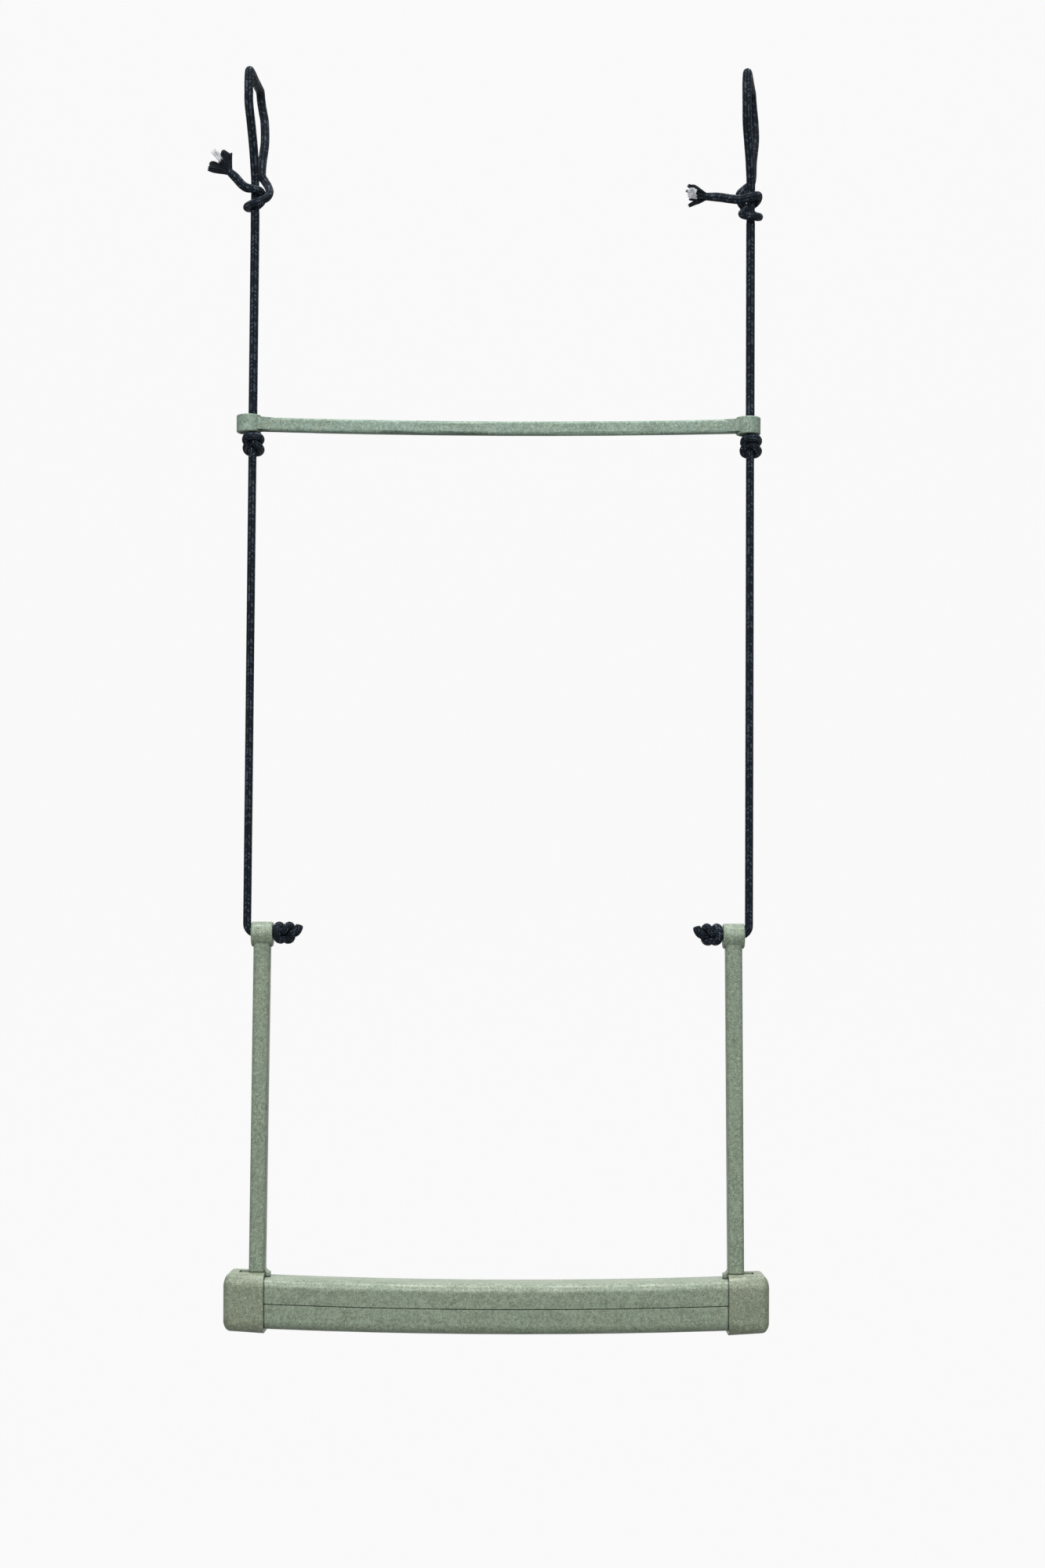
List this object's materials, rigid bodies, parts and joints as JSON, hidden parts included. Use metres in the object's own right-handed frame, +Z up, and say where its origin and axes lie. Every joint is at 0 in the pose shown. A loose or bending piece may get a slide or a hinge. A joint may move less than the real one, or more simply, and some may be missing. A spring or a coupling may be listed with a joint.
{
  "type": "bird swing",
  "caption": "Hanging bird swing: a bowed moulded perch with end caps and upright arms, and a spreader bar, carried by knotted braided ropes that loop over a beam.",
  "frame": {"origin": "middle of the resting face of the two top loops, level with the top of the beam that they hang over", "axes": "+Z up, X along the perch, +Y towards the back"},
  "size_m": [0.4109, 0.0573, 0.92],
  "materials": {
    "sage_plastic": "satin, speckled light and dark",
    "black_rope": "tight braid with light flecks",
    "rope_core": "loose core fibres"
  },
  "bodies": {
    "top_loops": {"rope_loop_left": "black_rope", "rope_loop_right": "black_rope", "hitch_knot_left": "black_rope", "hitch_knot_right": "black_rope", "rope_tail_left": "black_rope", "rope_tail_right": "black_rope"},
    "rope_necks": {"rope_neck_left": "black_rope", "rope_neck_right": "black_rope"},
    "left_rope": {"rope_upper_left": "black_rope", "stop_knot_left": "black_rope", "rope_lower_left": "black_rope"},
    "right_rope": {"rope_upper_right": "black_rope", "stop_knot_right": "black_rope", "rope_lower_right": "black_rope"},
    "spreader": {"spreader_bar": "sage_plastic"},
    "left_rope_end": {"rope_end_left": "black_rope", "end_knot_left": "black_rope"},
    "right_rope_end": {"rope_end_right": "black_rope", "end_knot_right": "black_rope"},
    "perch": {"perch_upper_shell": "sage_plastic", "perch_lower_shell": "sage_plastic", "end_cap_left": "sage_plastic", "end_cap_right": "sage_plastic", "arm_left": "sage_plastic", "arm_right": "sage_plastic"}
  },
  "joints": [
    {"name": "swing", "type": "hinge", "parent": "top_loops", "child": "rope_necks", "pos_m": [0, 0, -0.1005], "axis": [1, 0, 0], "range_deg": [-35, 35]},
    {"name": "sway_left", "type": "hinge", "parent": "rope_necks", "child": "left_rope", "pos_m": [-0.1805, 0, -0.1075], "axis": [0, 1, 0], "range_deg": [-6, 6]},
    {"name": "sway_right", "type": "hinge", "parent": "rope_necks", "child": "right_rope", "pos_m": [0.183, 0, -0.1075], "axis": [0, 1, 0], "range_deg": [-6, 6]},
    {"name": "spreader_level", "type": "hinge", "parent": "left_rope", "child": "spreader", "pos_m": [-0.18148, 0, -0.249], "axis": [0, 1, 0], "range_deg": [-6, 6]},
    {"name": "left_end_level", "type": "hinge", "parent": "left_rope", "child": "left_rope_end", "pos_m": [-0.184, 0, -0.613], "axis": [0, 1, 0], "range_deg": [-6, 6]},
    {"name": "right_end_level", "type": "hinge", "parent": "right_rope", "child": "right_rope_end", "pos_m": [0.184, 0, -0.613], "axis": [0, 1, 0], "range_deg": [-6, 6]},
    {"name": "perch_rock", "type": "hinge", "parent": "left_rope_end", "child": "perch", "pos_m": [-0.1727, 0, -0.62245], "axis": [1, 0, 0], "range_deg": [-60, 60]}
  ],
  "couplings": [
    {"joint": "sway_right", "follows": "sway_left", "ratio": 1},
    {"joint": "spreader_level", "follows": "sway_left", "ratio": -1},
    {"joint": "left_end_level", "follows": "sway_left", "ratio": -1},
    {"joint": "right_end_level", "follows": "sway_left", "ratio": -1}
  ]
}
